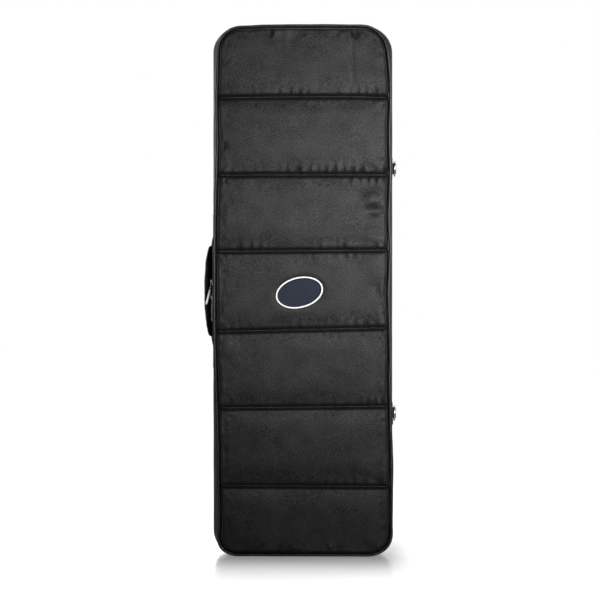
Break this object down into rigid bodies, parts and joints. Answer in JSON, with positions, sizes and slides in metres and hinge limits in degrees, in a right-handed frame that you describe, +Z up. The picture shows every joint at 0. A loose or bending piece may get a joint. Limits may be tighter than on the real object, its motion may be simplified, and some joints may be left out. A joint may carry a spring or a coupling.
{
  "type": "keyboard gig bag",
  "caption": "Tall padded keyboard gig bag with a quilted black front, corded edges, a zip with pulls, a side handle and strap rings.",
  "frame": {"origin": "centre of the flat bottom that the bag stands on, under the middle of its body", "axes": "+Z up along the bag's length, the quilted front faces -Y, the back +Y, the spine is at +X"},
  "size_m": [0.3662, 0.1366, 1],
  "materials": {
    "polyester": "matte",
    "piping": "satin",
    "foam": "matte",
    "lining": "satin",
    "zip_tape": "matte",
    "zip_coil": "satin",
    "nickel": "polished",
    "pull_grip": "satin",
    "handle_padding": "matte",
    "webbing": "matte",
    "badge_field": "satin",
    "badge_rim": "satin"
  },
  "bodies": {
    "base": {"back_cover": "polyester", "back_foam": "foam", "back_lining": "lining", "back_piping": "piping", "base_gusset_cover": "polyester", "base_foam_bottom": "foam", "base_foam_top": "foam", "base_foam_zip_side": "foam", "base_foam_spine": "foam", "base_foam_low_spine_corner": "foam", "base_foam_low_zip_corner": "foam", "base_foam_high_zip_corner": "foam", "base_foam_high_spine_corner": "foam", "base_gusset_lining": "lining", "base_spine_cover": "polyester", "base_spine_lining": "lining", "base_zip_tape": "zip_tape", "base_zip_coil": "zip_coil", "spine_fold": "polyester", "handle_tail_upper": "webbing", "handle_tail_lower": "webbing", "d_ring_patch_upper": "polyester", "d_ring_patch_lower": "polyester", "d_ring_loop_upper": "webbing", "d_ring_loop_lower": "webbing"},
    "lid": {"front_cover": "polyester", "front_foam": "foam", "front_lining": "lining", "front_piping": "piping", "lid_gusset_cover": "polyester", "lid_foam_bottom": "foam", "lid_foam_top": "foam", "lid_foam_zip_side": "foam", "lid_foam_spine": "foam", "lid_foam_low_spine_corner": "foam", "lid_foam_low_zip_corner": "foam", "lid_foam_high_zip_corner": "foam", "lid_foam_high_spine_corner": "foam", "lid_gusset_lining": "lining", "lid_spine_cover": "polyester", "lid_spine_lining": "lining", "lid_zip_tape": "zip_tape", "lid_zip_coil": "zip_coil", "badge_plate": "badge_field", "badge_rim": "badge_rim"},
    "handle": {"handle_grip": "handle_padding", "handle_strap": "webbing"},
    "slider_upper": {"slider_upper": "nickel"},
    "slider_lower": {"slider_lower": "nickel"},
    "pull_upper": {"pull_upper_tab": "nickel", "pull_upper_grip": "pull_grip"},
    "pull_lower": {"pull_lower_tab": "nickel", "pull_lower_grip": "pull_grip"},
    "d_ring_upper": {"d_ring_upper": "nickel"},
    "d_ring_lower": {"d_ring_lower": "nickel"}
  },
  "joints": [
    {"name": "lid_hinge", "type": "hinge", "parent": "base", "child": "lid", "pos_m": [0.16835, -0.022, 0.5], "axis": [0, 0, 1], "range_deg": [0, 150], "deforming": ["spine_fold"]},
    {"name": "slider_upper_slide", "type": "slide", "parent": "base", "child": "slider_upper", "axis": [0, 0, 1], "range_m": [0, 0.4]},
    {"name": "slider_lower_slide", "type": "slide", "parent": "base", "child": "slider_lower", "axis": [0, 0, -1], "range_m": [0, 0.4]},
    {"name": "pull_upper_swing", "type": "hinge", "parent": "slider_upper", "child": "pull_upper", "pos_m": [-0.1713, -0.022, 0.515], "axis": [0, 0.9397, -0.342], "range_deg": [0, 140]},
    {"name": "pull_lower_swing", "type": "hinge", "parent": "slider_lower", "child": "pull_lower", "pos_m": [-0.1713, -0.022, 0.487], "axis": [0, 1, 0], "range_deg": [0, 100]},
    {"name": "handle_lift", "type": "slide", "parent": "base", "child": "handle", "axis": [-1, 0, 0], "range_m": [0, 0.025], "deforming": ["handle_tail_upper", "handle_tail_lower"]},
    {"name": "d_ring_upper_swing", "type": "hinge", "parent": "base", "child": "d_ring_upper", "pos_m": [0.17345, 0.02, 0.731], "axis": [0, 0, 1], "range_deg": [0, 150]},
    {"name": "d_ring_lower_swing", "type": "hinge", "parent": "base", "child": "d_ring_lower", "pos_m": [0.17345, 0.02, 0.266], "axis": [0, 0, 1], "range_deg": [0, 150]}
  ]
}
